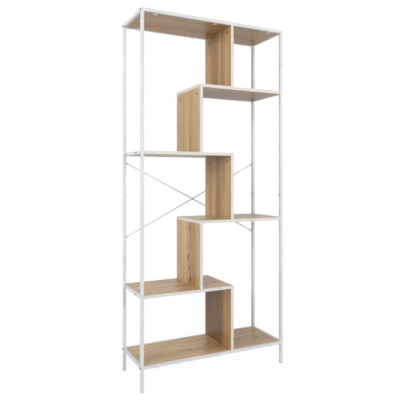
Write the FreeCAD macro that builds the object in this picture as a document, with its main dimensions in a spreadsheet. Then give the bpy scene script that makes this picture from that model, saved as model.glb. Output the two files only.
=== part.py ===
import FreeCAD, Part
import math
import os
import re

import Sketcher
from FreeCAD import Placement, Rotation, Vector

# A tall shelving unit: a welded and bolted frame of square steel tube, with wood boards that
# step to the left and to the right on dividers. X runs along the width, the front is at -Y,
# and the floor is at Z = 0, under the middle of the whole unit. Sizes are in millimetres.

doc = FreeCAD.newDocument("shelving_unit")

# Driving dimensions, one name each.
SIZES = {
    # the steel frame, outside to outside
    "width": 800,
    "depth": 300,
    "height": 1800,
    "leg_height": 105,
    # square tube
    "tube_side": 15,
    "tube_wall": 1.2,
    "tube_corner": 1.5,
    "bore_corner": 0.5,
    # boards, and where the shelves stand
    "board": 15,
    "edging": 1,
    "panel_gap": 1.5,
    "shelf_length": 480,
    "lowest_shelf": 450,
    "top_bay": 315,
    "joint_above_shelf": 110,
    # bolts that pull the long rails against the posts, and the nuts in the rail ends
    "bolt_radius": 3,
    "bolt_clearance": 0.25,
    "bolt_length": 30,
    "bolt_head_radius": 5.25,
    "bolt_head_height": 3.3,
    "bolt_head_edge": 1.2,
    "socket_radius": 2.3,
    "socket_depth": 2,
    "nut_length": 20,
    "nut_clearance": 0.15,
    # sleeve and screw that join an upper post to a lower one
    "sleeve_length": 80,
    "sleeve_wall": 1.5,
    "sleeve_clearance": 0.3,
    "joint_screw_rise": 10,
    "joint_screw_radius": 2.5,
    "joint_screw_length": 8,
    "joint_head_radius": 4.5,
    "joint_head_height": 2.6,
    "joint_head_edge": 1,
    # plastic ends of the posts
    "cap_depth": 4,
    "cap_skin": 1.5,
    "cap_clearance": 0.1,
    "foot_height": 4,
    "foot_stem": 20,
    "foot_edge": 0.8,
    # plates under the two inset panels, and their screws
    "tab_width": 18,
    "tab_reach": 24,
    "tab_thickness": 1.5,
    "tab_corner": 3,
    "tab_end_distance": 80,
    "tab_to_divider": 71,
    "tab_screw_inset": 9,
    "tab_screw_radius": 1.75,
    "tab_screw_clearance": 0.25,
    "tab_screw_length": 12,
    "tab_head_radius": 3.2,
    "tab_head_height": 2,
    "tab_head_edge": 0.7,
    # screws through a side rail into the end of a shelf
    "shelf_screw_front": 76,
    "shelf_screw_rear": 56,
    "shelf_screw_radius": 2,
    "shelf_screw_clearance": 0.25,
    "shelf_screw_length": 50,
    "shelf_head_radius": 4.2,
    "shelf_head_height": 2.4,
    "shelf_head_edge": 0.9,
    "pilot_overrun": 1,
    # cross recess in the head of every screw
    "recess_length": 4.2,
    "recess_width": 1,
    "recess_depth": 1.2,
    # cam fittings in the top edge of a divider
    "cam_spread": 220,
    "cam_setback": 28,
    "cam_radius": 7.5,
    "cam_depth": 12.5,
    "cam_reach": 3,
    "cam_channel_radius": 4,
    "cam_cross_length": 8,
    "cam_cross_width": 1.4,
    "cam_cross_depth": 1.2,
    "cam_thread_radius": 2.5,
    "cam_thread_length": 11,
    "cam_shank_radius": 3.4,
    "cam_neck_radius": 1.8,
    "cam_neck_length": 5,
    "cam_head_radius": 3.2,
    "cam_head_length": 4,
    # wood dowels in the bottom edge of a divider
    "dowel_spread": 140,
    "dowel_radius": 4,
    "dowel_in_board": 10,
    "dowel_in_divider": 20,
    "dowel_end_gap": 1,
    "dowel_edge": 1,
    # crossed strips behind the unit
    "brace_drop": 215,
    "brace_lift": 185,
    "strip_width": 6,
    "strip_thickness": 1.5,
    "strip_eye_radius": 6.5,
    "strip_flare": 24,
    "brace_screw_radius": 2,
    "brace_screw_length": 8,
    "brace_head_radius": 4,
    "brace_head_height": 2.2,
    "brace_head_edge": 0.8,
    "spacer_radius": 4.5,
}

sheet = doc.addObject("Spreadsheet::Sheet", "sizes")
for row, (name, amount) in enumerate(SIZES.items(), start=1):
    sheet.set(f"A{row}", name)
    sheet.set(f"B{row}", str(amount))
    sheet.setAlias(f"B{row}", name)
doc.recompute()

nodes = []


# Expressions, sketches and solid features


def size(text):
    """Turns words that are sizes into cells of the sheet."""
    return re.sub("[a-z_]+", lambda word: "sizes." + word[0] if word[0] in SIZES else word[0], text)


def number(text):
    """The value that an expression has now."""
    return float(sheet.evalExpression(size(text)))


def bind(item, field, text):
    item.setExpression(field, size(text))


def place(item, x, y, z, axis=Vector(0, 0, 1), angle=0.0):
    """Turns an object about its own origin and ties its place to the sizes."""
    item.Placement = Placement(Vector(number(x), number(y), number(z)), Rotation(axis, angle))
    for letter, text in zip("xyz", (x, y, z)):
        bind(item, "Placement.Base." + letter, text)
    return item


def keep(item, label):
    """Registers a finished sub-part under its file name."""
    item.Label = label
    nodes.append(item)
    return item


def new_body(label):
    return doc.addObject("PartDesign::Body", label)


def sketch_on(body, role, offset="0"):
    """A sketch on one of the body's own origin planes, or at an offset along its normal."""
    sketch = body.newObject("Sketcher::SketchObject", body.Name + "_sketch")
    plane = next(item for item in body.Origin.OriginFeatures if item.Role == role)
    sketch.AttachmentSupport = [(plane, "")]
    sketch.MapMode = "FlatFace"
    if offset != "0":
        bind(sketch, "AttachmentOffset.Base.z", offset)
    return sketch


def dimension(sketch, kind, text, *elements):
    """Adds a driving constraint that follows an expression."""
    index = sketch.addConstraint(Sketcher.Constraint(kind, *elements, number(text)))
    name = f"{kind.lower()}_{index}"
    sketch.renameConstraint(index, name)
    bind(sketch, "Constraints." + name, text)


def locate(sketch, item, x, y):
    """Ties the centre of a circle to the sketch's origin."""
    for kind, text, axis in (("DistanceX", x, -2), ("DistanceY", y, -1)):
        if number(text) > 0:
            dimension(sketch, kind, text, -1, 1, item, 3)
        elif number(text) < 0:
            dimension(sketch, kind, f"- ( {text} )", item, 3, -1, 1)
        else:
            sketch.addConstraint(Sketcher.Constraint("PointOnObject", item, 3, axis))


def circle(sketch, radius, x="0", y="0"):
    centre = Vector(number(x), number(y), 0)
    item = sketch.addGeometry(Part.Circle(centre, Vector(0, 0, 1), number(radius)))
    dimension(sketch, "Radius", radius, item)
    locate(sketch, item, x, y)


def closed_lines(sketch, corners):
    """Straight lines from corner to corner, and from the last one back to the first."""
    following = corners[1:] + corners[:1]
    lines = [sketch.addGeometry(Part.LineSegment(*ends)) for ends in zip(corners, following)]
    for line, after in zip(lines, lines[1:] + lines[:1]):
        sketch.addConstraint(Sketcher.Constraint("Coincident", line, 2, after, 1))
    return lines


def rectangle(sketch, wide, tall):
    """A sharp rectangle, centred on the sketch's origin."""
    half_x, half_y = number(wide) / 2, number(tall) / 2
    turns = [(-1, -1), (1, -1), (1, 1), (-1, 1)]
    lines = closed_lines(sketch, [Vector(side * half_x, level * half_y) for side, level in turns])
    for k, line in enumerate(lines):
        sketch.addConstraint(Sketcher.Constraint(("Horizontal", "Vertical")[k % 2], line))
    sketch.addConstraint(Sketcher.Constraint("Symmetric", lines[0], 1, lines[2], 1, -1, 1))
    dimension(sketch, "DistanceX", wide, lines[0], 1, lines[0], 2)
    dimension(sketch, "DistanceY", tall, lines[1], 1, lines[1], 2)


def taper(sketch, near, narrow, far, wide):
    """A tapered outline along the sketch's X axis, from its narrow end to its wide end."""
    near_x, far_x = number(near), number(far)
    near_y, far_y = number(narrow) / 2, number(wide) / 2
    corners = [Vector(near_x, -near_y), Vector(far_x, -far_y), Vector(far_x, far_y), Vector(near_x, near_y)]
    lines = closed_lines(sketch, corners)
    for line, x, tall, low, high in ((lines[3], near, narrow, 2, 1), (lines[1], far, wide, 1, 2)):
        sketch.addConstraint(Sketcher.Constraint("Symmetric", line, 1, line, 2, -1))
        dimension(sketch, "DistanceY", tall, line, low, line, high)
        if number(x) > 0:
            dimension(sketch, "DistanceX", x, -1, 1, line, 1)
        else:
            dimension(sketch, "DistanceX", f"- ( {x} )", line, 1, -1, 1)


def rounded_rectangle(sketch, wide, tall, radius):
    """A rectangle with four equal round corners, centred on the sketch's origin."""
    half_x, half_y, r = number(wide) / 2, number(tall) / 2, number(radius)
    turns = [(1, -1), (1, 1), (-1, 1), (-1, -1)]
    lines, arcs = [], []
    for k, (side, level) in enumerate(turns):
        centre = Vector(side * (half_x - r), level * (half_y - r), 0)
        start = (k - 1) * math.pi / 2
        arc = Part.ArcOfCircle(Part.Circle(centre, Vector(0, 0, 1), r), start, start + math.pi / 2)
        arcs.append(sketch.addGeometry(arc))
    for k in range(4):
        first, last = sketch.Geometry[arcs[k]], sketch.Geometry[arcs[(k + 1) % 4]]
        lines.append(sketch.addGeometry(Part.LineSegment(first.EndPoint, last.StartPoint)))
    for k in range(4):
        sketch.addConstraint(Sketcher.Constraint("Tangent", arcs[k], 2, lines[k], 1))
        sketch.addConstraint(Sketcher.Constraint("Tangent", lines[k], 2, arcs[(k + 1) % 4], 1))
        sketch.addConstraint(Sketcher.Constraint(("Vertical", "Horizontal")[k % 2], lines[k]))
    for k in range(1, 4):
        sketch.addConstraint(Sketcher.Constraint("Equal", arcs[0], arcs[k]))
    sketch.addConstraint(Sketcher.Constraint("Symmetric", arcs[0], 3, arcs[2], 3, -1, 1))
    dimension(sketch, "Radius", radius, arcs[0])
    dimension(sketch, "DistanceX", wide, lines[2], 1, lines[0], 1)
    dimension(sketch, "DistanceY", tall, lines[3], 1, lines[1], 1)


def pad(body, sketch, length, side="Symmetric", reverse=False):
    feature = body.newObject("PartDesign::Pad", body.Name + "_pad")
    feature.Profile = sketch
    feature.SideType = side
    feature.Reversed = reverse
    bind(feature, "Length", length)
    doc.recompute()
    return feature


def pocket(body, sketch, length=None, reverse=False):
    """Cuts right through both ways, or to a depth on one side of the sketch, and checks that it cut."""
    before = body.Shape.Volume
    feature = body.newObject("PartDesign::Pocket", body.Name + "_pocket")
    feature.Profile = sketch
    feature.Reversed = reverse
    if length is None:
        feature.Type = "ThroughAll"
        feature.SideType = "Symmetric"
    else:
        feature.SideType = "One side"
        bind(feature, "Length", length)
    doc.recompute()
    if not body.Shape.Volume < before:
        raise RuntimeError(f"a pocket in {body.Name} cuts nothing")
    return feature


def holes(body, role, radius, spots, offset="0", length=None, reverse=False):
    """Round holes along the normal of an origin plane, at places in that plane."""
    sketch = sketch_on(body, role, offset)
    for x, y in spots:
        circle(sketch, radius, x, y)
    return pocket(body, sketch, length, reverse)


def turned(label, steps, edge=None):
    """A turned piece: cylinders on the Z axis, each given as radius, bottom and length.
    The last one's top rim is rounded when an edge radius is given."""
    cylinders = []
    for k, (radius, bottom, length) in enumerate(steps):
        item = doc.addObject("Part::Cylinder", f"{label}_step_{k}")
        bind(item, "Radius", radius)
        bind(item, "Height", length)
        place(item, "0", "0", bottom)
        cylinders.append(item)
    if edge is not None:
        doc.recompute()
        head = cylinders[-1]
        top = max(range(len(head.Shape.Edges)), key=lambda k: head.Shape.Edges[k].CenterOfMass.z)
        rim = doc.addObject("Part::Fillet", label + "_rim")
        rim.Base = head
        rim.Edges = [(top + 1, number(edge), number(edge))]
        cylinders[-1] = rim
    if len(cylinders) == 1:
        return cylinders[0]
    joined = doc.addObject("Part::MultiFuse", label + "_turned")
    joined.Shapes = cylinders
    return joined


def cross_cut(label, base, top, arm="recess_length", slot="recess_width", sink="recess_depth"):
    """Sinks a cross recess into the top face of a turned piece."""
    arms = []
    for k, (long_x, long_y) in enumerate(((arm, slot), (slot, arm))):
        item = doc.addObject("Part::Box", f"{label}_arm_{k}")
        bind(item, "Length", long_x)
        bind(item, "Width", long_y)
        bind(item, "Height", sink)
        place(item, f"- ( {long_x} ) / 2", f"- ( {long_y} ) / 2", f"{top} - {sink}")
        arms.append(item)
    cross = doc.addObject("Part::MultiFuse", label + "_cross")
    cross.Shapes = arms
    cut = doc.addObject("Part::Cut", label + "_recessed")
    cut.Base, cut.Tool = base, cross
    return cut


def group(label, master, places):
    """Copies one master piece to many places, as one sub-part of separate solids."""
    links = []
    for k, spot in enumerate(places):
        link = doc.addObject("App::Link", f"{label}_{k}")
        link.LinkedObject = master
        place(link, *spot)
        links.append(link)
    compound = doc.addObject("Part::Compound", label)
    compound.Links = links
    return keep(compound, label)


def box(label, x, y, z, wide, deep, tall):
    """A plain strip, given by its lowest corner and its three sizes."""
    item = doc.addObject("Part::Box", label)
    bind(item, "Length", wide)
    bind(item, "Width", deep)
    bind(item, "Height", tall)
    return place(item, x, y, z)


X_AXIS, Y_AXIS, Z_AXIS = Vector(1, 0, 0), Vector(0, 1, 0), Vector(0, 0, 1)
SIDES = {"left": -1, "right": 1}
ENDS = {"front": -1, "rear": 1}
TO_SIDE = {-1: (Y_AXIS, -90), 1: (Y_AXIS, 90)}

# Planes that many pieces share. The braces and their heads stand out behind the frame, so the
# frame's own middle lies a little forward of the whole unit's middle.
BEHIND = "( 2 * strip_thickness + brace_head_height )"
MIDDLE = f"( - {BEHIND} / 2 )"
REAR_FACE = f"( {MIDDLE} + depth / 2 )"
POST_X = "( ( width - tube_side ) / 2 )"
POST_Y = "( ( depth - tube_side ) / 2 )"
INSIDE_X = "( width / 2 - tube_side )"
RAIL_LEVEL = {"top": "( height - tube_side / 2 )", "bottom": "( leg_height + tube_side / 2 )"}
BORE = "( tube_side - 2 * tube_wall )"
STEP_X = "( shelf_length - width / 2 + tube_side - board / 2 )"
# the lowest shelf is set from the floor and the highest one from the top panel, and the two
# between them are evenly spaced
SHELF_PITCH = "( ( height - tube_side - top_bay - lowest_shelf ) / 3 )"
SHELF_TOP = {shelf: f"( lowest_shelf + {4 - shelf} * {SHELF_PITCH} )" for shelf in (1, 2, 3, 4)}
SHELF_SIDE = {1: 1, 2: -1, 3: 1, 4: -1}
DIVIDER_SIDE = {1: 1, 2: -1, 3: 1, 4: -1, 5: 1}
# the halves of the posts meet above the third shelf, and the braces end below and above there
JOINT = f"( {SHELF_TOP[3]} + joint_above_shelf )"
BRACE_LOW = f"( {JOINT} - brace_drop )"
BRACE_HIGH = f"( {JOINT} + brace_lift )"


def frame_y(text):
    """A place in the depth, counted from the frame's own middle."""
    return f"{MIDDLE} + {text}"


# Steel frame


def square_tube(name, role, length):
    """A length of the frame's tube along an origin plane's normal, centred on the origin."""
    body = new_body(name)
    sketch = sketch_on(body, role)
    rounded_rectangle(sketch, "tube_side", "tube_side", "tube_corner")
    rounded_rectangle(sketch, BORE, BORE, "bore_corner")
    pad(body, sketch, length)
    return body


def post_half(side_name, end_name, part_name):
    """Half of a corner post, drilled for its corner bolt and, where it has them, for the joint
    screw and for the end of a brace."""
    side, end = SIDES[side_name], ENDS[end_name]
    low, high = {"lower": ("foot_height", JOINT), "upper": (JOINT, "height")}[part_name]
    middle = f"( ( {low} + {high} ) / 2 )"
    body = square_tube(f"post_{end_name}_{side_name}_{part_name}", "XY_Plane", f"{high} - {low}")
    bolt = RAIL_LEVEL["bottom" if part_name == "lower" else "top"]
    holes(body, "YZ_Plane", "bolt_radius + bolt_clearance", [("0", f"{bolt} - {middle}")])
    if part_name == "upper":
        rise = f"{JOINT} + joint_screw_rise - {middle}"
        holes(body, "YZ_Plane", "joint_screw_radius", [("0", rise)], "0", "tube_side", side < 0)
    if end_name == "rear":
        level = BRACE_LOW if part_name == "lower" else BRACE_HIGH
        holes(body, "XZ_Plane", "brace_screw_radius", [("0", f"{level} - {middle}")], "0", "tube_side")
    place(body, f"{side} * {POST_X}", frame_y(f"{end} * {POST_Y}"), middle)
    return keep(body, body.Name)


def side_rail(label, side, level, screws):
    """A short rail between the front and the rear post of one side, flush with their outer faces."""
    body = square_tube(label, "XZ_Plane", "depth - 2 * tube_side")
    if screws:
        spots = [("shelf_screw_front - depth / 2", "0"), ("depth / 2 - shelf_screw_rear", "0")]
        holes(body, "YZ_Plane", "shelf_screw_radius + shelf_screw_clearance", spots)
    place(body, f"{side} * {POST_X}", MIDDLE, level)
    return keep(body, label)


for side_name in SIDES:
    for end_name in ENDS:
        for part_name in ("lower", "upper"):
            post_half(side_name, end_name, part_name)

for side_name, side in SIDES.items():
    for height_name, level in RAIL_LEVEL.items():
        side_rail(f"side_rail_{side_name}_{height_name}", side, level, False)
for shelf, side in SHELF_SIDE.items():
    side_name = "left" if side < 0 else "right"
    side_rail(f"side_rail_{side_name}_shelf_{shelf}", side, f"{SHELF_TOP[shelf]} - tube_side / 2", True)

for end_name, end in ENDS.items():
    for height_name, level in RAIL_LEVEL.items():
        rail = square_tube(f"{end_name}_rail_{height_name}", "YZ_Plane", "width - 2 * tube_side")
        place(rail, "0", frame_y(f"{end} * {POST_Y}"), level)
        keep(rail, rail.Name)

# Nuts fixed in the ends of the long rails, and the bolts that come through the posts to them
nut = new_body("rail_nut")
nut_profile = sketch_on(nut, "XY_Plane")
rounded_rectangle(nut_profile, f"{BORE} - 2 * nut_clearance", f"{BORE} - 2 * nut_clearance", "bore_corner")
circle(nut_profile, "bolt_radius")
pad(nut, nut_profile, "nut_length")

bolt_steps = [("bolt_radius", "- bolt_length", "bolt_length"), ("bolt_head_radius", "0", "bolt_head_height")]
bolt = turned("corner_bolt", bolt_steps, "bolt_head_edge")
socket = doc.addObject("Part::Prism", "corner_bolt_socket")
socket.Polygon = 6
bind(socket, "Circumradius", "socket_radius")
bind(socket, "Height", "socket_depth")
place(socket, "0", "0", "bolt_head_height - socket_depth")
socketed = doc.addObject("Part::Cut", "corner_bolt_socketed")
socketed.Base, socketed.Tool = bolt, socket

nut_places, bolt_places = [], []
for side in SIDES.values():
    for end in ENDS.values():
        for level in RAIL_LEVEL.values():
            y = frame_y(f"{end} * {POST_Y}")
            nut_places.append((f"{side} * ( {INSIDE_X} - nut_length / 2 )", y, level, *TO_SIDE[side]))
            bolt_places.append((f"{side} * width / 2", y, level, *TO_SIDE[side]))
group("rail_nuts", nut, nut_places)
group("corner_bolts", socketed, bolt_places)

# Sleeves inside the posts where the halves meet, each held by a screw from the unit's inside
sleeve = new_body("post_sleeve")
sleeve_profile = sketch_on(sleeve, "XY_Plane")
SLEEVE = f"( {BORE} - 2 * sleeve_clearance )"
rounded_rectangle(sleeve_profile, SLEEVE, SLEEVE, "bore_corner")
rounded_rectangle(sleeve_profile, f"{SLEEVE} - 2 * sleeve_wall", f"{SLEEVE} - 2 * sleeve_wall", "bore_corner")
pad(sleeve, sleeve_profile, "sleeve_length")
holes(sleeve, "YZ_Plane", "joint_screw_radius", [("0", "joint_screw_rise")], "0", "tube_side", True)

joint_steps = [
    ("joint_screw_radius", "- joint_screw_length", "joint_screw_length"),
    ("joint_head_radius", "0", "joint_head_height"),
]
plain_joint_screw = turned("joint_screw", joint_steps, "joint_head_edge")
joint_screw = cross_cut("joint_screw", plain_joint_screw, "joint_head_height")
sleeve_places, joint_places = [], []
for side in SIDES.values():
    for end in ENDS.values():
        y = frame_y(f"{end} * {POST_Y}")
        sleeve_places.append((f"{side} * {POST_X}", y, JOINT, Z_AXIS, 180 if side > 0 else 0))
        level = f"{JOINT} + joint_screw_rise"
        joint_places.append((f"{side} * {INSIDE_X}", y, level, *TO_SIDE[-side]))
group("post_sleeves", sleeve, sleeve_places)
group("post_joint_screws", joint_screw, joint_places)

# Plastic caps, inset in the open tops of the posts
cap = new_body("post_cap")
cap_profile = sketch_on(cap, "XY_Plane")
PLUG = f"( {BORE} - 2 * cap_clearance )"
rounded_rectangle(cap_profile, PLUG, PLUG, "bore_corner")
pad(cap, cap_profile, "cap_depth", "One side", True)
cap_hollow = sketch_on(cap, "XY_Plane", "- cap_depth")
rounded_rectangle(cap_hollow, f"{PLUG} - 2 * cap_skin", f"{PLUG} - 2 * cap_skin", "bore_corner")
pocket(cap, cap_hollow, "cap_depth - cap_skin", True)

# Plastic feet, plugged into the bottom ends of the posts
foot = new_body("post_foot")
foot_sole = sketch_on(foot, "XY_Plane")
rounded_rectangle(foot_sole, "tube_side", "tube_side", "tube_corner")
pad(foot, foot_sole, "foot_height", "One side")
foot_stem = sketch_on(foot, "XY_Plane", "foot_height")
rounded_rectangle(foot_stem, PLUG, PLUG, "bore_corner")
pad(foot, foot_stem, "foot_stem", "One side")
foot_hollow = sketch_on(foot, "XY_Plane", "foot_height + foot_stem")
rounded_rectangle(foot_hollow, f"{PLUG} - 2 * cap_skin", f"{PLUG} - 2 * cap_skin", "bore_corner")
plugged = pocket(foot, foot_hollow, "foot_stem")
low_edges = [k for k, edge in enumerate(foot.Shape.Edges, 1) if edge.BoundBox.ZMax < number("foot_edge")]
sole_rim = foot.newObject("PartDesign::Chamfer", "foot_edge")
sole_rim.Base = (plugged, [f"Edge{k}" for k in low_edges])
bind(sole_rim, "Size", "foot_edge")
foot.Tip = sole_rim
doc.recompute()

post_columns = []
for side in SIDES.values():
    for end in ENDS.values():
        post_columns.append((f"{side} * {POST_X}", frame_y(f"{end} * {POST_Y}")))
group("post_caps", cap, [(x, y, "height") for x, y in post_columns])
group("feet", foot, [(x, y, "0") for x, y in post_columns])

# Plates welded under the long rails, which carry the two inset panels
tab = new_body("panel_tab")
tab_profile = sketch_on(tab, "XY_Plane")
rounded_rectangle(tab_profile, "tab_width", "tube_side + tab_reach", "tab_corner")
TAB_HOLE = "( ( tube_side + tab_reach ) / 2 - tab_screw_inset )"
circle(tab_profile, "tab_screw_radius + tab_screw_clearance", "0", TAB_HOLE)
pad(tab, tab_profile, "tab_thickness", "One side", True)

tab_screw_steps = [
    ("tab_screw_radius", "- tab_screw_length", "tab_screw_length"),
    ("tab_head_radius", "0", "tab_head_height"),
]
plain_tab_screw = turned("tab_screw", tab_screw_steps, "tab_head_edge")
tab_screw = cross_cut("tab_screw", plain_tab_screw, "tab_head_height")
TAB_COLUMNS = [
    "tab_end_distance - width / 2",
    f"{STEP_X} - board / 2 - tab_to_divider - tab_width / 2",
    "width / 2 - tab_end_distance",
]
PANEL_UNDERSIDE = {"top": "( height - tube_side )", "bottom": "leg_height"}
screw_places = []
for height_name, level in PANEL_UNDERSIDE.items():
    tab_places = []
    for end in ENDS.values():
        for x in TAB_COLUMNS:
            y = frame_y(f"{end} * ( depth - tube_side - tab_reach ) / 2")
            tab_places.append((x, y, level, Z_AXIS, 180 if end > 0 else 0))
            hole_y = frame_y(f"{end} * ( ( depth - tube_side - tab_reach ) / 2 - {TAB_HOLE} )")
            screw_places.append((x, hole_y, f"{level} - tab_thickness", X_AXIS, 180))
    group(f"{height_name}_panel_tabs", tab, tab_places)
group("tab_screws", tab_screw, screw_places)

# Wood boards


def flat_board(label, wide, deep):
    """A board that lies flat, centred on the body's origin."""
    body = new_body(label)
    sketch = sketch_on(body, "XY_Plane")
    rectangle(sketch, wide, deep)
    pad(body, sketch, "board")
    return body


def pair(spread):
    """The two places in the depth that a pair of fittings takes."""
    return (f"- {spread} / 2", f"{spread} / 2")


def drill_for_dividers(body, above, below, centre_x):
    """Holes for the dowels of the divider above and for the cam bolts of the divider below."""
    if above:
        spots = [(f"{above} * {STEP_X} - {centre_x}", y) for y in pair("dowel_spread")]
        holes(body, "XY_Plane", "dowel_radius", spots, "board / 2", "dowel_in_board + dowel_end_gap")
    if below:
        spots = [(f"{below} * {STEP_X} - {centre_x}", y) for y in pair("cam_spread")]
        holes(body, "XY_Plane", "cam_thread_radius", spots, "- board / 2", "cam_thread_length", True)


def inset_panel(label, underside, above, below):
    """A panel that lies inside a ring of four rails, on the plates welded under them."""
    wide = "width - 2 * ( tube_side + panel_gap )"
    deep = "depth - 2 * ( tube_side + panel_gap )"
    body = flat_board(label, wide, deep)
    drill_for_dividers(body, above, below, "0")
    rows = [f"{end} * ( depth / 2 - tube_side - tab_reach + tab_screw_inset )" for end in ENDS.values()]
    spots = [(x, y) for x in TAB_COLUMNS for y in rows]
    depth_of_hole = "tab_screw_length - tab_thickness"
    holes(body, "XY_Plane", "tab_screw_radius", spots, "- board / 2", depth_of_hole, True)
    place(body, "0", MIDDLE, f"{underside} + board / 2")
    return keep(body, label)


inset_panel("top_panel", PANEL_UNDERSIDE["top"], 0, DIVIDER_SIDE[1])
inset_panel("bottom_panel", PANEL_UNDERSIDE["bottom"], DIVIDER_SIDE[5], 0)

for shelf, side in SHELF_SIDE.items():
    # the core of the board runs from its side rail to the strip on its free end
    label = f"shelf_{shelf}"
    core_x = f"( {side} * ( {INSIDE_X} - ( shelf_length - edging ) / 2 ) )"
    core = flat_board(label, "shelf_length - edging", "depth - 2 * edging")
    drill_for_dividers(core, side, -side, core_x)
    screw_rows = [("shelf_screw_front - depth / 2", "0"), ("depth / 2 - shelf_screw_rear", "0")]
    end_plane = f"{side} * ( shelf_length - edging ) / 2"
    pilot = "shelf_screw_length - tube_side + pilot_overrun"
    holes(core, "YZ_Plane", "shelf_screw_radius", screw_rows, end_plane, pilot, side < 0)
    place(core, core_x, MIDDLE, f"{SHELF_TOP[shelf]} - board / 2")
    keep(core, label)
    # white strips on the front, the rear and the free end
    bottom = f"{SHELF_TOP[shelf]} - board"
    low_x = {1: f"{INSIDE_X} - ( shelf_length - edging )", -1: f"- {INSIDE_X}"}[side]
    end_x = {1: f"{INSIDE_X} - shelf_length", -1: f"- {INSIDE_X} + shelf_length - edging"}[side]
    run = "shelf_length - edging"
    strips = [
        box(f"{label}_strip_front", low_x, frame_y("( - depth / 2 )"), bottom, run, "edging", "board"),
        box(f"{label}_strip_rear", low_x, frame_y("( depth / 2 - edging )"), bottom, run, "edging", "board"),
        box(f"{label}_strip_end", end_x, frame_y("( - depth / 2 )"), bottom, "edging", "depth", "board"),
    ]
    edging = doc.addObject("Part::Compound", f"{label}_edging")
    edging.Links = strips
    keep(edging, f"{label}_edging")

# Where each divider starts and ends: on the board below it and under the board above it
DIVIDER_SPAN = {
    1: (SHELF_TOP[1], PANEL_UNDERSIDE["top"]),
    2: (SHELF_TOP[2], f"( {SHELF_TOP[1]} - board )"),
    3: (SHELF_TOP[3], f"( {SHELF_TOP[2]} - board )"),
    4: (SHELF_TOP[4], f"( {SHELF_TOP[3]} - board )"),
    5: ("( leg_height + board )", f"( {SHELF_TOP[4]} - board )"),
}
# the cams are in the left faces of the upper three dividers and in the right faces of the others
CAM_FACE = {1: -1, 2: -1, 3: -1, 4: 1, 5: 1}
CAM_TURN = {-1: (Y_AXIS, -90), 1: (X_AXIS + Z_AXIS, 180)}
cam_places, cam_bolt_places, dowel_places = [], [], []
for divider, (low, high) in DIVIDER_SPAN.items():
    label = f"divider_{divider}"
    x = f"{DIVIDER_SIDE[divider]} * {STEP_X}"
    core = new_body(label)
    outline = sketch_on(core, "YZ_Plane")
    rectangle(outline, "depth - 2 * edging", f"{high} - {low}")
    pad(core, outline, "board")
    half = f"( ( {high} - {low} ) / 2 )"
    cam_spots = [(y, f"{half} - cam_setback") for y in pair("cam_spread")]
    face = CAM_FACE[divider]
    holes(core, "YZ_Plane", "cam_radius", cam_spots, f"{face} * board / 2", "cam_depth", face < 0)
    channel_spots = [("0", y) for y in pair("cam_spread")]
    holes(core, "XY_Plane", "cam_channel_radius", channel_spots, half, "cam_setback")
    dowel_spots = [("0", y) for y in pair("dowel_spread")]
    dowel_hole = "dowel_in_divider + dowel_end_gap"
    holes(core, "XY_Plane", "dowel_radius", dowel_spots, f"- {half}", dowel_hole, True)
    place(core, x, MIDDLE, f"( {low} + {high} ) / 2")
    keep(core, label)
    strips = []
    for end_name, y in (("front", "( - depth / 2 )"), ("rear", "( depth / 2 - edging )")):
        strip = box(f"{label}_strip_{end_name}", f"{x} - board / 2", frame_y(y), low, "board", "edging",
                    f"{high} - {low}")
        strips.append(strip)
    edging = doc.addObject("Part::Compound", f"{label}_edging")
    edging.Links = strips
    keep(edging, f"{label}_edging")
    for y in pair("cam_spread"):
        cam_x = f"{x} + {face} * board / 2"
        cam_places.append((cam_x, frame_y(f"( {y} )"), f"{high} - cam_setback", *CAM_TURN[face]))
        cam_bolt_places.append((x, frame_y(f"( {y} )"), high))
    for y in pair("dowel_spread"):
        dowel_places.append((x, frame_y(f"( {y} )"), low))

# Cam housings, let into one face of each divider below its top edge
cam_drum = doc.addObject("Part::Cylinder", "cam_drum")
bind(cam_drum, "Radius", "cam_radius")
bind(cam_drum, "Height", "cam_depth")
place(cam_drum, "0", "0", "- cam_depth")
cam_channel = doc.addObject("Part::Cylinder", "cam_channel")
bind(cam_channel, "Radius", "cam_channel_radius")
bind(cam_channel, "Height", "cam_radius + cam_reach")
place(cam_channel, "- cam_reach", "0", "- board / 2", Y_AXIS, 90)
cam_body = doc.addObject("Part::Cut", "cam_body")
cam_body.Base, cam_body.Tool = cam_drum, cam_channel
cam = cross_cut("cam", cam_body, "0", "cam_cross_length", "cam_cross_width", "cam_cross_depth")
group("cam_locks", cam, cam_places)

# Steel bolts that hang from the board above and are gripped by the cams
cam_bolt_steps = [
    ("cam_thread_radius", "0", "cam_thread_length"),
    ("cam_shank_radius", "cam_neck_length - cam_setback", "cam_setback - cam_neck_length"),
    ("cam_neck_radius", "- cam_setback", "cam_neck_length"),
    ("cam_head_radius", "- cam_setback - cam_head_length / 2", "cam_head_length"),
]
group("cam_bolts", turned("cam_bolt", cam_bolt_steps), cam_bolt_places)

# Wood dowels between the bottom edge of each divider and the board under it
dowel = doc.addObject("Part::Cylinder", "dowel_blank")
bind(dowel, "Radius", "dowel_radius")
bind(dowel, "Height", "dowel_in_board + dowel_in_divider")
place(dowel, "0", "0", "- dowel_in_board")
doc.recompute()
dowel_rims = [k + 1 for k, edge in enumerate(dowel.Shape.Edges) if isinstance(edge.Curve, Part.Circle)]
dowel_bevel = doc.addObject("Part::Chamfer", "dowel_bevel")
dowel_bevel.Base = dowel
dowel_bevel.Edges = [(k, number("dowel_edge"), number("dowel_edge")) for k in dowel_rims]
group("dowels", dowel_bevel, dowel_places)

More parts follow.
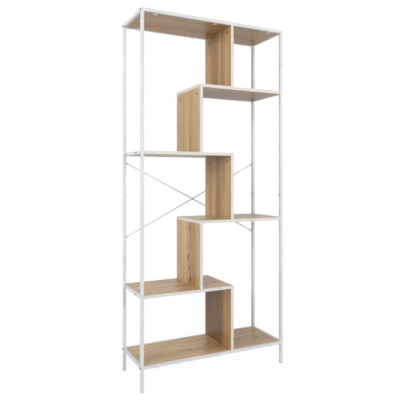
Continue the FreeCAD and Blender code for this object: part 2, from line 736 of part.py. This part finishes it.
# Screws through the side rails into the ends of the shelves
shelf_screw_steps = [
    ("shelf_screw_radius", "- shelf_screw_length", "shelf_screw_length"),
    ("shelf_head_radius", "0", "shelf_head_height"),
]
plain_shelf_screw = turned("shelf_screw", shelf_screw_steps, "shelf_head_edge")
shelf_screw = cross_cut("shelf_screw", plain_shelf_screw, "shelf_head_height")
shelf_screw_places = []
for shelf, side in SHELF_SIDE.items():
    for y in ("( shelf_screw_front - depth / 2 )", "( depth / 2 - shelf_screw_rear )"):
        level = f"{SHELF_TOP[shelf]} - tube_side / 2"
        shelf_screw_places.append((f"{side} * width / 2", frame_y(y), level, *TO_SIDE[side]))
group("shelf_screws", shelf_screw, shelf_screw_places)

# Braces

BRACE_RUN = "( width - tube_side )"
BRACE_RISE = f"( {BRACE_HIGH} - {BRACE_LOW} )"
BRACE_MIDDLE = f"( ( {BRACE_LOW} + {BRACE_HIGH} ) / 2 )"


def brace_strip(label, direction, layer):
    """A flat steel strip from one rear post to the other, which widens into a round eye at each
    end and at its middle, with a hole in each eye."""
    body = new_body(label)
    span = f"( ( {BRACE_RUN} ^ 2 + {BRACE_RISE} ^ 2 ) ^ 0.5 )"
    sketch = sketch_on(body, "XZ_Plane")
    rectangle(sketch, span, "strip_width")
    pad(body, sketch, "strip_thickness")
    for end in (-1, 1):
        neck = f"( {end} * ( {span} / 2 - strip_flare ) )"
        flare = sketch_on(body, "XZ_Plane")
        taper(flare, neck, "strip_width", f"( {end} * {span} / 2 )", "2 * strip_eye_radius")
        pad(body, flare, "strip_thickness")
    eyes = [f"( - {span} / 2 )", "0", f"( {span} / 2 )"]
    for eye in eyes:
        disc = sketch_on(body, "XZ_Plane")
        circle(disc, "strip_eye_radius", eye)
        pad(body, disc, "strip_thickness")
    holes(body, "XZ_Plane", "brace_screw_radius", [(eye, "0") for eye in eyes])
    y = f"{REAR_FACE} + {layer} * strip_thickness + strip_thickness / 2"
    slope = f"atan( {BRACE_RISE} / {BRACE_RUN} )"
    place(body, "0", y, BRACE_MIDDLE, Vector(0, -direction, 0), number(slope))
    bind(body, "Placement.Rotation.Angle", slope)
    return keep(body, label)


brace_strip("brace_strip_falling", -1, 0)
brace_strip("brace_strip_rising", 1, 1)

brace_screw_steps = [
    ("brace_screw_radius", "- brace_screw_length", "brace_screw_length"),
    ("brace_head_radius", "0", "brace_head_height"),
]
plain_brace_screw = turned("brace_screw", brace_screw_steps, "brace_head_edge")
brace_screw = cross_cut("brace_screw", plain_brace_screw, "brace_head_height")
brace_screw_places = []
for side in SIDES.values():
    for level, layer in ((BRACE_HIGH, 1 if side < 0 else 2), (BRACE_LOW, 2 if side < 0 else 1)):
        y = f"{REAR_FACE} + {layer} * strip_thickness"
        brace_screw_places.append((f"{side} * {POST_X}", y, level, X_AXIS, -90))
group("brace_end_screws", brace_screw, brace_screw_places)

# Washers that hold the ends of the outer strip off the posts by the thickness of the inner one
spacer = new_body("brace_spacer")
spacer_profile = sketch_on(spacer, "XY_Plane")
circle(spacer_profile, "spacer_radius")
circle(spacer_profile, "brace_screw_radius")
pad(spacer, spacer_profile, "strip_thickness", "One side")
spacer_places = [
    (f"- {POST_X}", REAR_FACE, BRACE_LOW, X_AXIS, -90),
    (POST_X, REAR_FACE, BRACE_HIGH, X_AXIS, -90),
]
group("brace_spacers", spacer, spacer_places)

# Rivet where the strips cross, flush with the inner strip so that a divider can stand before it
rivet_steps = [
    ("brace_screw_radius", "- 2 * strip_thickness", "2 * strip_thickness"),
    ("brace_head_radius", "0", "brace_head_height"),
]
rivet = turned("crossing_rivet", rivet_steps, "brace_head_edge")
place(rivet, "0", f"{REAR_FACE} + 2 * strip_thickness", BRACE_MIDDLE, X_AXIS, -90)
keep(rivet, "brace_centre_rivet")

# Check everything, then write one file for each sub-part
doc.recompute()
for item in doc.Objects:
    if "Invalid" in item.State or "Error" in item.State:
        raise RuntimeError(f"{item.Label} has failed: {item.State}")
for item in nodes:
    if item.Shape.isNull() or not item.Shape.isValid():
        raise RuntimeError(f"{item.Label} has no valid shape")
os.makedirs("parts", exist_ok=True)
for item in nodes:
    item.Shape.exportStep(f"parts/{item.Label}.step")
print(len(nodes), "sub-parts written")
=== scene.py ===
import math

import bmesh
import bpy
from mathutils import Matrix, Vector


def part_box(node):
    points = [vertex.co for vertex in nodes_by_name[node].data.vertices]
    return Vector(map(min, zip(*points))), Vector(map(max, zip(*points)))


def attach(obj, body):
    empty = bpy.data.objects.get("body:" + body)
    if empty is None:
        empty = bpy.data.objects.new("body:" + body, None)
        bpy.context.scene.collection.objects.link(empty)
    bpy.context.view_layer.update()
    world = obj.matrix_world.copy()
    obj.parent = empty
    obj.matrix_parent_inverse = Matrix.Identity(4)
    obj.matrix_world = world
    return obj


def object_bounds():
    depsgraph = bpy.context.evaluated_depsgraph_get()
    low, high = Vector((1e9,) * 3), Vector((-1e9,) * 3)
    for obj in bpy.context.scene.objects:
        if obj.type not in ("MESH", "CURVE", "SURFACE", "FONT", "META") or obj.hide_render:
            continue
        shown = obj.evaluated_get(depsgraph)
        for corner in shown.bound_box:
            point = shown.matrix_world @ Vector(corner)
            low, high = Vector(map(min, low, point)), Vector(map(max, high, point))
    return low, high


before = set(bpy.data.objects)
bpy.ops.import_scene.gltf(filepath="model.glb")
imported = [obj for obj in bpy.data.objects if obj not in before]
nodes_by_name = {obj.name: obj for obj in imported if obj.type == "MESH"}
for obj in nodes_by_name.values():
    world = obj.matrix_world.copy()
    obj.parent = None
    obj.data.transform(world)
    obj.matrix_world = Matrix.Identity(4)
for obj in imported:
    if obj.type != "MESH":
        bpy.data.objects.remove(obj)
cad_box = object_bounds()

# White tube frame
# The posts, the long rails and the side rails are 15 mm square steel tube, powder-coated white.
# The side rails are welded between the posts, and the long rails are bolted on, so that the unit
# packs flat. Each post is in two halves that meet on a sleeve.


class Socket:
    """One output of a finish's nodes. Arithmetic on it adds Math nodes to that finish."""

    def __init__(self, nodes, output):
        self.nodes = nodes
        self.output = output

    def out(self, key):
        """Another output of the same node."""
        return Socket(self.nodes, self.output.node.outputs[key])

    def math(self, operation, first, second):
        return self.nodes.node("ShaderNodeMath", {"operation": operation}, {0: first, 1: second})

    def __add__(self, other):
        return self.math("ADD", self, other)

    def __sub__(self, other):
        return self.math("SUBTRACT", self, other)

    def __rsub__(self, other):
        return self.math("SUBTRACT", other, self)

    def __mul__(self, other):
        return self.math("MULTIPLY", self, other)

    def __truediv__(self, other):
        return self.math("DIVIDE", self, other)

    def __pow__(self, other):
        return self.math("POWER", self, other)

    __radd__ = __add__
    __rmul__ = __mul__


class Nodes:
    """The nodes of one finish or of the world, written as expressions."""

    def __init__(self, owner):
        owner.use_nodes = True
        self.owner = owner
        self.tree = owner.node_tree

    def node(self, kind, settings=(), sockets=(), output=0):
        """Adds a node: its settings first, then the values or links of its sockets."""
        added = self.tree.nodes.new(kind)
        for setting, value in dict(settings).items():
            if setting == "stops":
                self.set_stops(added.color_ramp, value)
            else:
                setattr(added, setting, value)
        for socket, value in dict(sockets).items():
            self.join(value, added.inputs[socket])
        return Socket(self, added.outputs[output])

    def set_stops(self, ramp, stops):
        """Places and colours along a ramp, the first at 0 and the last at 1."""
        for place, shade in stops[1:-1]:
            ramp.elements.new(place)
        for element, (place, shade) in zip(ramp.elements, stops):
            element.position = place
            element.color = shade

    def join(self, value, socket):
        if isinstance(value, Socket):
            self.tree.links.new(value.output, socket)
        else:
            socket.default_value = value

    def feed(self, name, **sockets):
        """Sets or links the sockets of a node that is there already."""
        for socket, value in sockets.items():
            self.join(value, self.tree.nodes[name].inputs[socket.replace("_", " ")])

    def axes(self):
        """X, Y and Z on the piece, in metres."""
        place = self.node("ShaderNodeTexCoord", output="Object")
        x = self.node("ShaderNodeSeparateXYZ", sockets={0: place})
        return x, x.out(1), x.out(2)

    def cloud(self, x, y, z, detail=2.0):
        """Soft noise from 0 to 1, whose grains are about 1 long along each value."""
        place = self.node("ShaderNodeCombineXYZ", sockets={0: x, 1: y, 2: z})
        return self.node("ShaderNodeTexNoise", sockets={"Vector": place, "Scale": 1.0, "Detail": detail})

    def specks(self, per_metre, detail=2.0):
        """Noise all through a piece, so many to a metre sideways and so many upwards."""
        sideways, upwards = per_metre
        x, y, z = self.axes()
        return self.cloud(x * sideways, y * sideways, z * upwards, detail)

    def step(self, value, low, high):
        """0 below low, 1 above high, and a smooth rise between them."""
        rise = {"Value": value, "From Min": low, "From Max": high}
        return self.node("ShaderNodeMapRange", {"interpolation_type": "SMOOTHSTEP"}, rise)

    def tint(self, share, under, over, way="MIX"):
        """One colour laid over another by a share from 0 to 1."""
        colours = {"data_type": "RGBA", "blend_type": way}
        return self.node("ShaderNodeMix", colours, {0: share, 6: under, 7: over}, output=2)

    def part(self, value):
        """What is left of a value above its whole number."""
        return self.node("ShaderNodeMath", {"operation": "FRACT"}, {0: value})

    def size(self, value):
        """A value without its sign."""
        return self.node("ShaderNodeMath", {"operation": "ABSOLUTE"}, {0: value})

    def bump(self, height, depth):
        return self.node("ShaderNodeBump", sockets={"Height": height, "Distance": depth})


def colour(red, green, blue):
    return (red, green, blue, 1.0)


def new_finish(name):
    return Nodes(bpy.data.materials.new(name))


def dress(finish, *names):
    """Gives CAD pieces their finish."""
    for name in names:
        for held in nodes_by_name[name].material_slots:
            held.material = finish.owner


# how many specks there are to a metre, sideways and upwards, here and in the finishes below
PEEL = (700, 700)
THIN_PATCHES = (14, 5)
PEEL_DEPTH = 0.00001
COAT_ROUGHNESS = 0.36
COAT_GLOSS = 0.35


def powder_coat(name, thin, full):
    """Baked powder: one colour with a slight orange peel, a little thinner here and there."""
    coat = new_finish(name)
    peel = coat.specks(PEEL, 1.0)
    patch = coat.specks(THIN_PATCHES)
    coat.feed(
        "Principled BSDF",
        Base_Color=coat.tint(coat.step(patch, 0.3, 0.7), thin, full),
        Roughness=COAT_ROUGHNESS + 0.12 * peel,
        Specular_IOR_Level=COAT_GLOSS,
        Normal=coat.bump(peel, PEEL_DEPTH),
    )
    return coat


white_powder = powder_coat("white_powder", colour(0.695, 0.70, 0.705), colour(0.72, 0.725, 0.73))
half_posts = [name for name in nodes_by_name if name.endswith(("_upper", "_lower"))]
rails = [name for name in nodes_by_name if "_rail_" in name]
dress(white_powder, *half_posts, *rails)

# Plates under the two inset panels
# Small plates of 1.5 mm steel are welded under the long rails and coated with them. Each has one
# hole, through which a screw goes up into the panel.
dress(white_powder, "top_panel_tabs", "bottom_panel_tabs")

# Welds
# Short beads join the side rails to the posts, above and below, and the plates to the long
# rails. The outer sides are ground flush, and the powder coat runs over all of it.
BEAD_LEG = 0.0022
BEAD_END_GAP = 0.0012
BEAD_ROOT = 0.0003
BEAD_FLATNESS = 0.2
BEAD_RIPPLE_SHARE = 0.1
BEAD_RIPPLE_LENGTH = 0.0016
BEAD_END_SHARE = 0.12
BEAD_TIP_SHARE = 0.2
BEAD_STEPS = 48
BEAD_SIDES = 6
TAB_WIDTH = 0.018


class Welds:
    """Beads laid in the corners between pairs of faces, in one mesh."""

    def __init__(self):
        self.points = []
        self.faces = []

    def lay(self, start, end, up_one, up_other, leg):
        """A rippled bead from start to end. up_one and up_other lie in the two faces, square to
        the bead, and leg is how far it reaches up each."""
        first = len(self.points)
        run = end - start
        for step in range(BEAD_STEPS + 1):
            share = step / BEAD_STEPS
            ripple = math.sin(2 * math.pi * share * run.length / BEAD_RIPPLE_LENGTH)
            to_end = min(share, 1 - share) / BEAD_END_SHARE
            fullness = min(1, BEAD_TIP_SHARE + to_end) ** 0.5
            reach = leg * (1 - BEAD_RIPPLE_SHARE + BEAD_RIPPLE_SHARE * ripple) * fullness
            middle = start + share * run
            self.points.append(middle - BEAD_ROOT * (up_one + up_other))
            for side in range(BEAD_SIDES + 1):
                angle = math.pi / 2 * side / BEAD_SIDES
                out = reach * (1 - BEAD_FLATNESS * math.sin(2 * angle))
                self.points.append(middle + out * (math.cos(angle) * up_one + math.sin(angle) * up_other))
        ring = BEAD_SIDES + 2
        for step in range(BEAD_STEPS):
            low = first + step * ring
            for side in range(ring):
                beyond = (side + 1) % ring
                self.faces.append((low + side, low + beyond, low + ring + beyond, low + ring + side))
        last = first + BEAD_STEPS * ring
        self.faces.append(tuple(range(first, first + ring)))
        self.faces.append(tuple(range(last, last + ring)))

    def finish(self, name):
        mesh = bpy.data.meshes.new(name)
        mesh.from_pydata(self.points, [], self.faces)
        shell = bmesh.new()
        shell.from_mesh(mesh)
        bmesh.ops.recalc_face_normals(shell, faces=shell.faces)
        for face in shell.faces:
            face.smooth = len(face.verts) == 4
        shell.to_mesh(mesh)
        shell.free()
        mesh.materials.append(white_powder.owner)
        beads = bpy.data.objects.new(name, mesh)
        bpy.context.scene.collection.objects.link(beads)
        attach(beads, "root")


UP = Vector((0, 0, 1))
RIGHT = Vector((1, 0, 0))
BACK = Vector((0, 1, 0))
unit_top = cad_box[1][2]

side_welds = Welds()
for name in sorted(nodes_by_name):
    if name.startswith("side_rail"):
        low, high = (Vector(corner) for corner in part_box(name))
        for z, up in ((low.z, -UP), (high.z, UP)):
            if z > unit_top - BEAD_LEG:
                continue
            for y, inward in ((low.y, BACK), (high.y, -BACK)):
                start = Vector((low.x + BEAD_END_GAP, y, z))
                end = Vector((high.x - BEAD_END_GAP, y, z))
                side_welds.lay(start, end, inward, up, BEAD_LEG)
side_welds.finish("side_rail_welds")

tab_welds = Welds()
for level in ("top", "bottom"):
    tabs_low, tabs_high = (Vector(corner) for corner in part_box(level + "_panel_tabs"))
    for rail in ("front_rail_", "rear_rail_"):
        low, high = (Vector(corner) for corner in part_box(rail + level))
        for tab_x in (tabs_low.x + TAB_WIDTH / 2, 0.0, tabs_high.x - TAB_WIDTH / 2):
            for outward in (-RIGHT, RIGHT):
                edge_x = tab_x + outward.x * TAB_WIDTH / 2
                start = Vector((edge_x, low.y + 2 * BEAD_END_GAP, low.z))
                end = Vector((edge_x, high.y - BEAD_END_GAP, low.z))
                tab_welds.lay(start, end, outward, -UP, tabs_high.z - tabs_low.z)
tab_welds.finish("plate_welds")

# Sleeves, nuts and washers
# Plain zinc-plated steel: the sleeves join the halves of the posts, the nuts are fixed in the
# ends of the long rails, and the washers lie between the outer brace strip's ends and the posts.
BATH_CLOUDS = (160, 160)
SCRATCHES = (2500, 300)
SCRATCH_DEPTH = 0.000004


def plated(name, dull, bright, rough):
    """Zinc plating: cloudy from the bath, with fine upright scratches."""
    zinc = new_finish(name)
    patch = zinc.specks(BATH_CLOUDS, 3.0)
    scratch = zinc.specks(SCRATCHES)
    zinc.feed(
        "Principled BSDF",
        Base_Color=zinc.tint(patch, dull, bright),
        Metallic=1.0,
        Roughness=rough + 0.2 * (scratch - 0.5),
        Normal=zinc.bump(scratch, SCRATCH_DEPTH),
    )
    return zinc


clear_zinc = plated("clear_zinc", colour(0.50, 0.50, 0.52), colour(0.66, 0.66, 0.67), 0.38)
dress(clear_zinc, "post_sleeves", "rail_nuts", "brace_spacers")

# Wood-effect boards
# The shelves, dividers and panels are 15 mm chipboard faced with a light oak print, on which
# the grain runs along the shelves and up the dividers. Every board is cut from another place of
# the printed roll, so each has its own staves of paler and darker wood from rear to front. On
# some boards the staves also hold painted light: painted shade on shelves 1 and 2 and on the
# rear of divider 5, painted sheen on shelf 3, and painted light from above on shelf 4 and the
# bottom panel.
BOARD_DEPTH = 0.3
# on shelf 3 only: its tone, paled and greyed by a painted sheen of its glossy top
CREAM_AND_SHEEN = colour(0.61, 0.485, 0.315)
STRAW = colour(0.66, 0.46, 0.25)
PALE = colour(0.57, 0.38, 0.19)
HONEY = colour(0.51, 0.30, 0.125)
BROWN = colour(0.39, 0.215, 0.088)
# on shelf 2 only: its tone, greyed by painted shade from its shaded underside
DRIFTWOOD_AND_SHADE = colour(0.41, 0.31, 0.165)
# on shelf 1 only: its own darker tone plus painted shade from its shaded underside
ASH_AND_SHADE = colour(0.315, 0.20, 0.092)
# on divider 5 only: partly a darker stave, partly painted shadow of shelf 4
UMBER_AND_SHADOW = colour(0.25, 0.132, 0.048)
LATE_WOOD = colour(0.40, 0.31, 0.24)
VEIN = colour(0.30, 0.20, 0.13)
PORE = colour(0.45, 0.38, 0.32)
# how many of each there are to a metre, along the grain and across it
DRIFTS = (2.2, 9)
KINKS = (12, 35)
STRIPS = (1.2, 38)
FIBRES = (6, 150)
HAIRS = (16, 800)
PORES = (40, 1300)
WAVERS = (3, 14)
# how far in all the drift and the kinks move the grain to the side
DRIFT = 0.016
KINK = 0.005
# how much each darkens the wood, and the sum at which it is as dark as it gets
STRIP_SHADE = 0.34
FIBRE_SHADE = 0.3
HAIR_SHADE = 0.24
ARCH_SHADE = 0.45
FULL_SHADE = 1.3
PORE_SHARE = 0.6
PRINT_DEPTH = 0.00006
# the growth rings round the heart, whose rounding is in square metres
RINGS_PER_METRE = 100
RING_WAVER = 1.3
SAW_SLANT = 0.045
HEART_ROUNDING = 0.0002
ARCHES_FADE_FROM = 0.02
ARCHES_GONE_BY = 0.08
# the vein at the heart, each of whose noises is cut at a level of its own
TWISTS_PER_METRE = 9
TWIST_LEVEL = 0.0
TWIST = 0.12
WOBBLES_PER_METRE = 30
WOBBLE_LEVEL = 4.0
WOBBLE = 0.05
KNOTS_PER_METRE = 22
KNOT_LEVEL = 11.0
VEIN_CORE = 0.001
VEIN_HALF_WIDTH = 0.006
KNOT_SWELLING = 0.008
THIN_VEIN_SHARE = 0.35

low_corner, high_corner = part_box("top_panel")
unit_middle_y = (low_corner[1] + high_corner[1]) / 2


def oak(board, grain, cut, heart, figure, *staves):
    """The print on one board. grain is its direction and cut the board's place along the roll.
    heart is where the tree's heart ran, as a share of the depth from the rear, and figure is how
    strongly its arches and dark vein show. Each stave is a share from the rear and its colour."""
    wood = new_finish("oak_" + board)
    x, y, z = wood.axes()
    along = (x if grain == "x" else z) + cut

    def layer(sideways, per_metre, detail=2.0):
        """One layer of the print: noise along the grain and sideways, so many to a metre."""
        return wood.cloud(along * per_metre[0], sideways * per_metre[1], cut, detail)

    # the grain drifts slowly and has short kinks, so that no line is straight
    across = y + DRIFT * (layer(y, DRIFTS) - 0.5) + KINK * (layer(y, KINKS) - 0.5)
    from_rear = 0.5 - (across - unit_middle_y) / BOARD_DEPTH
    stave = wood.node("ShaderNodeValToRGB", {"stops": staves}, {0: from_rear})
    strips = wood.step(layer(across, STRIPS), 0.3, 0.75)
    fibres = wood.step(layer(across, FIBRES, 3.0), 0.35, 0.75)
    hairs = layer(across, HAIRS)
    pores = wood.step(layer(across, PORES, 1.0), 0.62, 0.74)
    # growth rings that the saw cut at a slant, so that they make long arches round the heart
    heart_y = unit_middle_y + (0.5 - heart) * BOARD_DEPTH
    depth = SAW_SLANT * along
    radius = ((across - heart_y) ** 2.0 + depth ** 2.0 + HEART_ROUNDING) ** 0.5
    ring = radius * RINGS_PER_METRE + RING_WAVER * layer(across, WAVERS)
    near_heart = 1 - wood.step(radius, ARCHES_FADE_FROM, ARCHES_GONE_BY)
    arches = wood.step(wood.part(ring), 0.5, 0.95) * near_heart
    # the vein at the heart, a soft dark line that twists and swells into small knots
    twist = TWIST * (wood.cloud(along * TWISTS_PER_METRE, cut, TWIST_LEVEL) - 0.5)
    wobble = WOBBLE * (wood.cloud(along * WOBBLES_PER_METRE, cut, WOBBLE_LEVEL) - 0.5)
    knots = wood.step(wood.cloud(along * KNOTS_PER_METRE, cut, KNOT_LEVEL), 0.45, 0.65)
    beside = wood.size(y + figure * (twist + wobble) - heart_y)
    half_width = VEIN_HALF_WIDTH + KNOT_SWELLING * knots
    strength = THIN_VEIN_SHARE + (1 - THIN_VEIN_SHARE) * knots
    vein = (1 - wood.step(beside, VEIN_CORE, half_width)) * strength
    # the inks, one over the other
    grain_shade = STRIP_SHADE * strips + FIBRE_SHADE * fibres + HAIR_SHADE * hairs
    darkness = grain_shade + ARCH_SHADE * figure * arches
    shade = wood.tint(wood.step(darkness, 0.0, FULL_SHADE), stave, LATE_WOOD, "MULTIPLY")
    shade = wood.tint(figure * vein, shade, VEIN, "MULTIPLY")
    wood.feed(
        "Principled BSDF",
        Base_Color=wood.tint(PORE_SHARE * pores, shade, PORE, "MULTIPLY"),
        Roughness=0.32 + 0.14 * fibres,
        Specular_IOR_Level=0.3,
        Normal=wood.bump(hairs - 0.8 * pores, PRINT_DEPTH),
    )
    dress(wood, board)


oak("top_panel", "x", 0.3, 0.35, 0.5, (0.0, HONEY), (0.4, HONEY), (0.7, PALE), (1.0, HONEY))
# the bottom panel's straw top is partly its print and partly painted light from above
oak("bottom_panel", "x", 2.9, 0.6, 0.7, (0.0, STRAW), (0.4, STRAW), (0.7, PALE), (1.0, STRAW))
# shelf 1's ash rear is partly its tone and partly painted shade, as on its shaded underside
oak("shelf_1", "x", 22.2, 0.4, 0.3, (0.0, ASH_AND_SHADE), (0.6, ASH_AND_SHADE), (1.0, HONEY))
# shelf 2's driftwood tone is greyed by painted shade taken from its shaded underside
oak("shelf_2", "x", 31.2, 0.7, 0.3, (0.0, DRIFTWOOD_AND_SHADE), (1.0, DRIFTWOOD_AND_SHADE))
# shelf 3's cream is partly its tone and partly painted sheen on its top
oak("shelf_3", "x", 12.59, 0.4, 0.5, (0.0, CREAM_AND_SHEEN), (1.0, CREAM_AND_SHEEN))
# shelf 4's pale straw top is partly its print and partly painted light from above
oak("shelf_4", "x", 47.73, 0.6, 0.7, (0.0, PALE), (0.3, STRAW), (1.0, STRAW))
oak("divider_1", "z", -1.0, 0.5, 0.35, (0.0, HONEY), (0.1, PALE), (0.26, BROWN), (0.46, BROWN),
    (0.56, PALE), (0.68, BROWN), (0.8, PALE), (1.0, HONEY))
oak("divider_2", "z", 1.3, 0.2, 0.25, (0.0, STRAW), (0.2, STRAW), (0.3, PALE), (0.48, STRAW),
    (0.6, HONEY), (0.7, PALE), (0.86, STRAW), (1.0, STRAW))
oak("divider_3", "z", 31.24, 0.4, 0.3, (0.0, STRAW), (0.25, HONEY), (0.36, STRAW), (0.49, BROWN),
    (0.56, HONEY), (0.78, PALE), (0.88, STRAW), (1.0, HONEY))
oak("divider_4", "z", -0.75, 0.57, 1.0, (0.0, STRAW), (0.5, STRAW), (0.58, HONEY), (0.8, HONEY),
    (0.88, STRAW), (1.0, STRAW))
# divider 5's umber rear is partly its print and partly painted shadow that shelf 4 casts on it
oak("divider_5", "z", 22.07, 0.66, 0.4, (0.0, UMBER_AND_SHADOW), (0.6, UMBER_AND_SHADOW), (0.7, BROWN), (0.76, HONEY),
    (1.0, HONEY))

# White edge strips
# The cut edges of the shelves and dividers are closed with 1 mm white plastic strip, glued on
# hot and trimmed flush, which has a fine matt texture.
TOOTH = (1500, 1500)
TOOTH_DEPTH = 0.00001
YELLOWED_PATCHES = (6, 6)
STRIP_WHITE = colour(0.72, 0.70, 0.65)
STRIP_YELLOWED = colour(0.675, 0.65, 0.60)

white_strip = new_finish("white_strip")
tooth = white_strip.specks(TOOTH, 1.0)
white_strip.feed(
    "Principled BSDF",
    Base_Color=white_strip.tint(white_strip.specks(YELLOWED_PATCHES), STRIP_YELLOWED, STRIP_WHITE),
    Roughness=0.45 + 0.1 * tooth,
    Specular_IOR_Level=0.35,
    Normal=white_strip.bump(tooth, TOOTH_DEPTH),
)
dress(white_strip, *[name for name in nodes_by_name if name.endswith("_edging")])

# Cam fittings and dowels
# Each divider hangs on two cam fittings under the board above it: a die-cast drum let into one
# of its faces, which turns to grip a steel bolt. Two beech dowels hold its foot.
BEECH = colour(0.62, 0.44, 0.27)
BEECH_FLECK = colour(0.45, 0.29, 0.16)
FLECKS = (900, 120)

cam_bronze = plated("cam_bronze", colour(0.19, 0.12, 0.065), colour(0.27, 0.17, 0.09), 0.5)
dress(cam_bronze, "cam_locks")
dress(clear_zinc, "cam_bolts")

beech = new_finish("beech")
flecks = beech.specks(FLECKS)
beech.feed(
    "Principled BSDF",
    Base_Color=beech.tint(flecks, BEECH, BEECH_FLECK),
    Roughness=0.6 + 0.15 * flecks,
)
dress(beech, "dowels")

# Bolts and screws
# Steel, zinc-plated. The plating is dark on the corner bolts, on the screws in the rails, posts
# and braces and on the rivet, whose heads are small dark dots on the white frame, and bright on
# the screws that go up through the plates.
dark_zinc = plated("dark_zinc", colour(0.16, 0.16, 0.16), colour(0.26, 0.26, 0.26), 0.4)
dress(dark_zinc, "corner_bolts", "shelf_screws", "post_joint_screws", "brace_end_screws")
dress(dark_zinc, "brace_centre_rivet")
dress(clear_zinc, "tab_screws")

# Caps and feet
# Moulded plastic, pressed into the ends of the posts: white caps close their tops, and light
# grey feet stand under them, so that the steel doesn't mark the floor.
MOULD_GRAIN = (2200, 2200)
MOULD_GRAIN_DEPTH = 0.00001
SCUFFS = (220, 900)


def moulded(name, worn, clean):
    """Plastic with the fine grain of its mould and light scuffs round it."""
    plastic = new_finish(name)
    grain = plastic.specks(MOULD_GRAIN, 1.0)
    scuff = plastic.specks(SCUFFS, 3.0)
    plastic.feed(
        "Principled BSDF",
        Base_Color=plastic.tint(plastic.step(scuff, 0.35, 0.6), worn, clean),
        Roughness=0.5 + 0.12 * grain,
        Normal=plastic.bump(grain, MOULD_GRAIN_DEPTH),
    )
    return plastic


dress(moulded("cap_plastic", colour(0.66, 0.66, 0.66), colour(0.72, 0.72, 0.72)), "post_caps")
dress(moulded("foot_plastic", colour(0.50, 0.50, 0.50), colour(0.62, 0.62, 0.62)), "feet")

# Brace strips
# Two thin steel strips cross behind the unit and keep it square, and are screwed to the rear
# posts. They are painted a light grey that is a little bluer than the frame; the blue is a
# painted offset for the warm light that the boards bounce onto them.
# bluer than the frame's coat: a painted offset for the warm light bounced from the boards
strip_paint = powder_coat("strip_paint", colour(0.665, 0.685, 0.71), colour(0.725, 0.745, 0.775))
dress(strip_paint, "brace_strip_falling", "brace_strip_rising")

# Floor
# A plain white studio floor. To the camera and in reflections it is nearly pure white, and the
# rest of it is lit, so that it keeps the unit's soft shadow. Further out it is all white.
FLOOR_SPAN = 30.0
FLOOR_PAINT = colour(0.88, 0.88, 0.88)
FLOOR_SEEN_SHARE = 0.97
FLOOR_WHITE_FROM = 0.5
FLOOR_WHITE_BY = 2.5

floor_mesh = bpy.data.meshes.new("studio_floor")
half = FLOOR_SPAN / 2
floor_corners = [(-half, -half, 0), (half, -half, 0), (half, half, 0), (-half, half, 0)]
floor_mesh.from_pydata(floor_corners, [], [(0, 1, 2, 3)])
floor = bpy.data.objects.new("studio_floor", floor_mesh)
bpy.context.scene.collection.objects.link(floor)


def seen(nodes):
    """1 for rays from the camera and for those that are mirrored or pass through a piece."""
    ray = nodes.node("ShaderNodeLightPath", output="Is Camera Ray")
    mirrored = ray.out("Is Glossy Ray") + ray.out("Is Transmission Ray")
    return nodes.node("ShaderNodeMath", {"operation": "MINIMUM"}, {0: ray + mirrored, 1: 1.0})


studio_white = new_finish("studio_white")
studio_white.feed("Principled BSDF", Base_Color=FLOOR_PAINT, Roughness=0.9)
lit = Socket(studio_white, studio_white.tree.nodes["Principled BSDF"].outputs[0])
glow = studio_white.node("ShaderNodeEmission", sockets={"Color": colour(1, 1, 1), "Strength": 1.0})
x, y, z = studio_white.axes()
reach = (x ** 2.0 + y ** 2.0) ** 0.5
further = studio_white.step(reach, FLOOR_WHITE_FROM, FLOOR_WHITE_BY)
whiteness = FLOOR_SEEN_SHARE + (1 - FLOOR_SEEN_SHARE) * further
shown = {0: seen(studio_white) * whiteness, 1: lit, 2: glow}
both = studio_white.node("ShaderNodeMixShader", sockets=shown)
studio_white.feed("Material Output", Surface=both)
floor_mesh.materials.append(studio_white.owner)

# Light
# A white studio: three soft lamps on the left, one on the right in front, and one behind, so that
# the unit's back isn't dark, with a little even light from all round.
AMBIENT = 0.1
UNIT_MIDDLE = Vector((0.0, 0.0, 0.9))

world = Nodes(bpy.data.worlds.new("white_studio"))
bpy.context.scene.world = world.owner
world.feed("Background", Color=colour(1, 1, 1), Strength=AMBIENT + (1 - AMBIENT) * seen(world))


def soft_lamp(name, place, size, watts, mirrored=True):
    """A square lamp of that size, aimed at the middle of the unit. One that isn't mirrored leaves
    no glare on the boards."""
    lamp = bpy.data.lights.new(name, "AREA")
    lamp.size = size
    lamp.energy = watts
    held = bpy.data.objects.new(name, lamp)
    held.location = place
    held.visible_glossy = mirrored
    held.rotation_euler = (UNIT_MIDDLE - Vector(place)).to_track_quat("-Z", "Y").to_euler()
    bpy.context.scene.collection.objects.link(held)


soft_lamp("key_left", (-4.5, -4.5, 2.6), 2.4, 109)
soft_lamp("key_near_left", (-3.0, -3.2, 2.6), 1.6, 50)
soft_lamp("side_left", (-3.0, -0.3, 2.0), 1.6, 31)
soft_lamp("fill_right", (2.4, -3.5, 1.8), 1.5, 78)
soft_lamp("fill_behind", (1.2, 4.2, 2.2), 2.5, 72, mirrored=False)

# Camera
# The photograph's view: from the left in front, level, at about the middle of the unit's
# height. The place and the lens come from the unit's edges in the photograph.
PHOTO_SIDE = 400
FOCAL_PIXELS = 478.5
AXIS_COLUMN = 213.0
AXIS_ROW = 176.0
CAMERA_PLACE = (-1.1135, -2.2913, 1.003)
CAMERA_TURN = 27.0
CAMERA_LIFT = 0.2
SENSOR = 36.0

lens = bpy.data.cameras.new("photo_camera")
lens.sensor_width = SENSOR
lens.lens = FOCAL_PIXELS / PHOTO_SIDE * SENSOR
lens.shift_x = (PHOTO_SIDE / 2 - AXIS_COLUMN) / PHOTO_SIDE
lens.shift_y = (AXIS_ROW - PHOTO_SIDE / 2) / PHOTO_SIDE
camera = bpy.data.objects.new("photo_camera", lens)
camera.location = CAMERA_PLACE
camera.rotation_euler = (math.radians(90 + CAMERA_LIFT), 0, math.radians(-CAMERA_TURN))
bpy.context.scene.collection.objects.link(camera)
bpy.context.scene.camera = camera
bpy.context.scene.view_settings.view_transform = "Standard"
